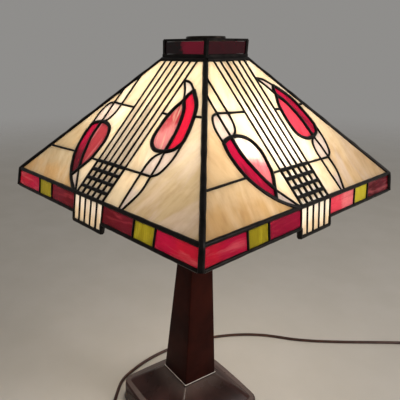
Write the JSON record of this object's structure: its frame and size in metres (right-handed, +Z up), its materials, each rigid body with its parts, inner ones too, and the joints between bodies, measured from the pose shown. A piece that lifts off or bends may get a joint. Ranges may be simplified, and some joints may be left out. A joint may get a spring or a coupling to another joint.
{
  "type": "table lamp",
  "caption": "Table lamp with a square pyramid shade of leaded opalescent glass on a tapered square bronze column and a low pyramid base.",
  "frame": {"origin": "centre of the felt underside, on the column's axis", "axes": "+Z up; the base's sides face +X, -X, +Y and -Y; -Y is the front; the cord leaves through the middle of the -Y side"},
  "size_m": [0.4936, 0.8477, 0.6066],
  "materials": {
    "opal_glass": "streaky opalescent art glass, cream to amber",
    "red_glass": "streaky ruby art glass",
    "collar_glass": "dark ruby art glass",
    "lead_came": "lead came and solder with a black patina",
    "dark_brass": "brass with a black patina",
    "bronze_column": "dark bronze finish on cast metal, satin",
    "bronze_base": "brown bronze finish, satin, brighter on the edges",
    "brass": "satin",
    "steel": "zinc plated",
    "iron": "rough cast",
    "felt": "green felt",
    "bulb_glass": "soft white frosted lamp glass, lit",
    "cord": "brown vinyl lamp cord",
    "black_plastic": "moulded, fine grain"
  },
  "bodies": {
    "base": {"arm_a": "brass", "arm_b": "brass", "ballast": "iron", "base_casting": "bronze_base", "bulb_cap_a": "steel", "bulb_cap_b": "steel", "bulb_glass_a": "bulb_glass", "bulb_glass_b": "bulb_glass", "cluster_hub": "brass", "coil_tie": "black_plastic", "column": "bronze_column", "column_cap": "bronze_column", "column_nut": "brass", "cord_coil": "cord", "cord_run": "cord", "cord_tail": "cord", "felt_pad": "felt", "inner_lead": "black_plastic", "lampholder_a": "brass", "lampholder_b": "brass", "lower_nut": "steel", "lower_washer": "steel", "plinth_plate": "bronze_column", "plug_body": "black_plastic", "plug_pin_a": "brass", "plug_pin_b": "brass", "riser": "brass", "riser_seat": "brass", "strain_relief": "black_plastic", "threaded_pipe": "steel"},
    "shade": {"apron_glass_back": "red_glass", "apron_glass_front": "red_glass", "apron_glass_left": "red_glass", "apron_glass_right": "red_glass", "apron_lead_back": "lead_came", "apron_lead_front": "lead_came", "apron_lead_left": "lead_came", "apron_lead_right": "lead_came", "collar_frame": "lead_came", "collar_pane_back": "collar_glass", "collar_pane_front": "collar_glass", "collar_pane_left": "collar_glass", "collar_pane_right": "collar_glass", "hip_bead_back": "lead_came", "hip_bead_front": "lead_came", "hip_bead_left": "lead_came", "hip_bead_right": "lead_came", "panel_glass_back": "opal_glass", "panel_glass_front": "opal_glass", "panel_glass_left": "opal_glass", "panel_glass_right": "opal_glass", "panel_lead_back": "lead_came", "panel_lead_front": "lead_came", "panel_lead_left": "lead_came", "panel_lead_right": "lead_came", "vent_cap": "lead_came"},
    "finial": {"disc_finial": "dark_brass"},
    "knob_a": {"switch_knob_a": "black_plastic"},
    "knob_b": {"switch_knob_b": "black_plastic"}
  },
  "joints": [
    {"name": "shade_turn", "type": "hinge", "parent": "base", "child": "shade", "pos_m": [0, 0, 0.6], "axis": [0, 0, 1], "continuous": true},
    {"name": "finial_turn", "type": "hinge", "parent": "base", "child": "finial", "pos_m": [0, 0, 0.605], "axis": [0, 0, 1], "continuous": true},
    {"name": "knob_a_turn", "type": "hinge", "parent": "base", "child": "knob_a", "pos_m": [0.03323, 0, 0.42923], "axis": [0.7071, 0, -0.7071], "continuous": true},
    {"name": "knob_b_turn", "type": "hinge", "parent": "base", "child": "knob_b", "pos_m": [-0.03323, 0, 0.42923], "axis": [-0.7071, 0, -0.7071], "continuous": true}
  ]
}
